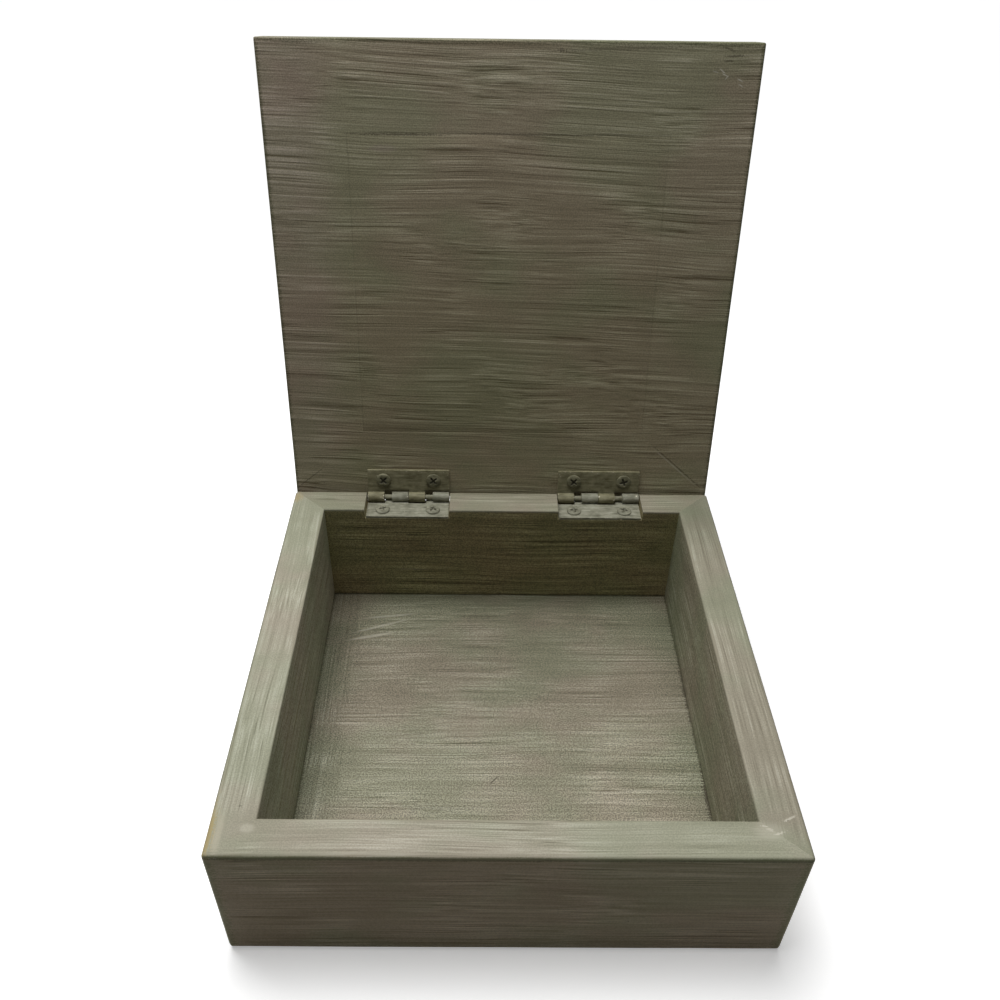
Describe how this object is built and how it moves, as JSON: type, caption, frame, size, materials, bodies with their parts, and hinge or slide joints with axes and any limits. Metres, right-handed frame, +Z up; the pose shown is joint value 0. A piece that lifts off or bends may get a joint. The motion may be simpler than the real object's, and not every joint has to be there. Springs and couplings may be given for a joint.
{
  "type": "keepsake box",
  "caption": "Square wooden keepsake box with a hinged lid standing open, brush-painted in grey-green, with small painted butt hinges screwed inside.",
  "frame": {"origin": "middle of the box body's underside, in the plane it stands on", "axes": "+X to the right along the front, +Y to the back where the hinges are, +Z up; the front faces -Y and the lid stands open at the back"},
  "size_m": [0.14, 0.1761, 0.1757],
  "materials": {
    "body_paint": "brushed grey-green paint, worn at the edges",
    "floor_paint": "brushed grey-green paint, matt",
    "lid_paint": "brushed grey-green paint, matt",
    "painted_hinge": "painted over with the wood, worn at the knuckles",
    "hinge_pin_steel": "bare steel with paint left on it",
    "screw_steel": "painted pan head with a rubbed crown"
  },
  "bodies": {
    "body": {"front_wall": "body_paint", "back_wall": "body_paint", "left_wall": "body_paint", "right_wall": "body_paint", "floor_board": "floor_paint", "left_hinge_body_leaf": "painted_hinge", "left_hinge_pin": "hinge_pin_steel", "left_hinge_body_screw_outer": "screw_steel", "left_hinge_body_screw_inner": "screw_steel", "right_hinge_body_leaf": "painted_hinge", "right_hinge_pin": "hinge_pin_steel", "right_hinge_body_screw_outer": "screw_steel", "right_hinge_body_screw_inner": "screw_steel"},
    "lid": {"lid_front_rail": "lid_paint", "lid_back_rail": "lid_paint", "lid_left_rail": "lid_paint", "lid_right_rail": "lid_paint", "lid_panel": "lid_paint", "left_hinge_lid_leaf": "painted_hinge", "left_hinge_lid_screw_outer": "screw_steel", "left_hinge_lid_screw_inner": "screw_steel", "right_hinge_lid_leaf": "painted_hinge", "right_hinge_lid_screw_outer": "screw_steel", "right_hinge_lid_screw_inner": "screw_steel"}
  },
  "joints": [
    {"name": "lid_hinge", "type": "hinge", "parent": "body", "child": "lid", "pos_m": [0, 0.0687, 0.0403], "axis": [-1, 0, 0], "range_deg": [-100.5, 0]}
  ]
}
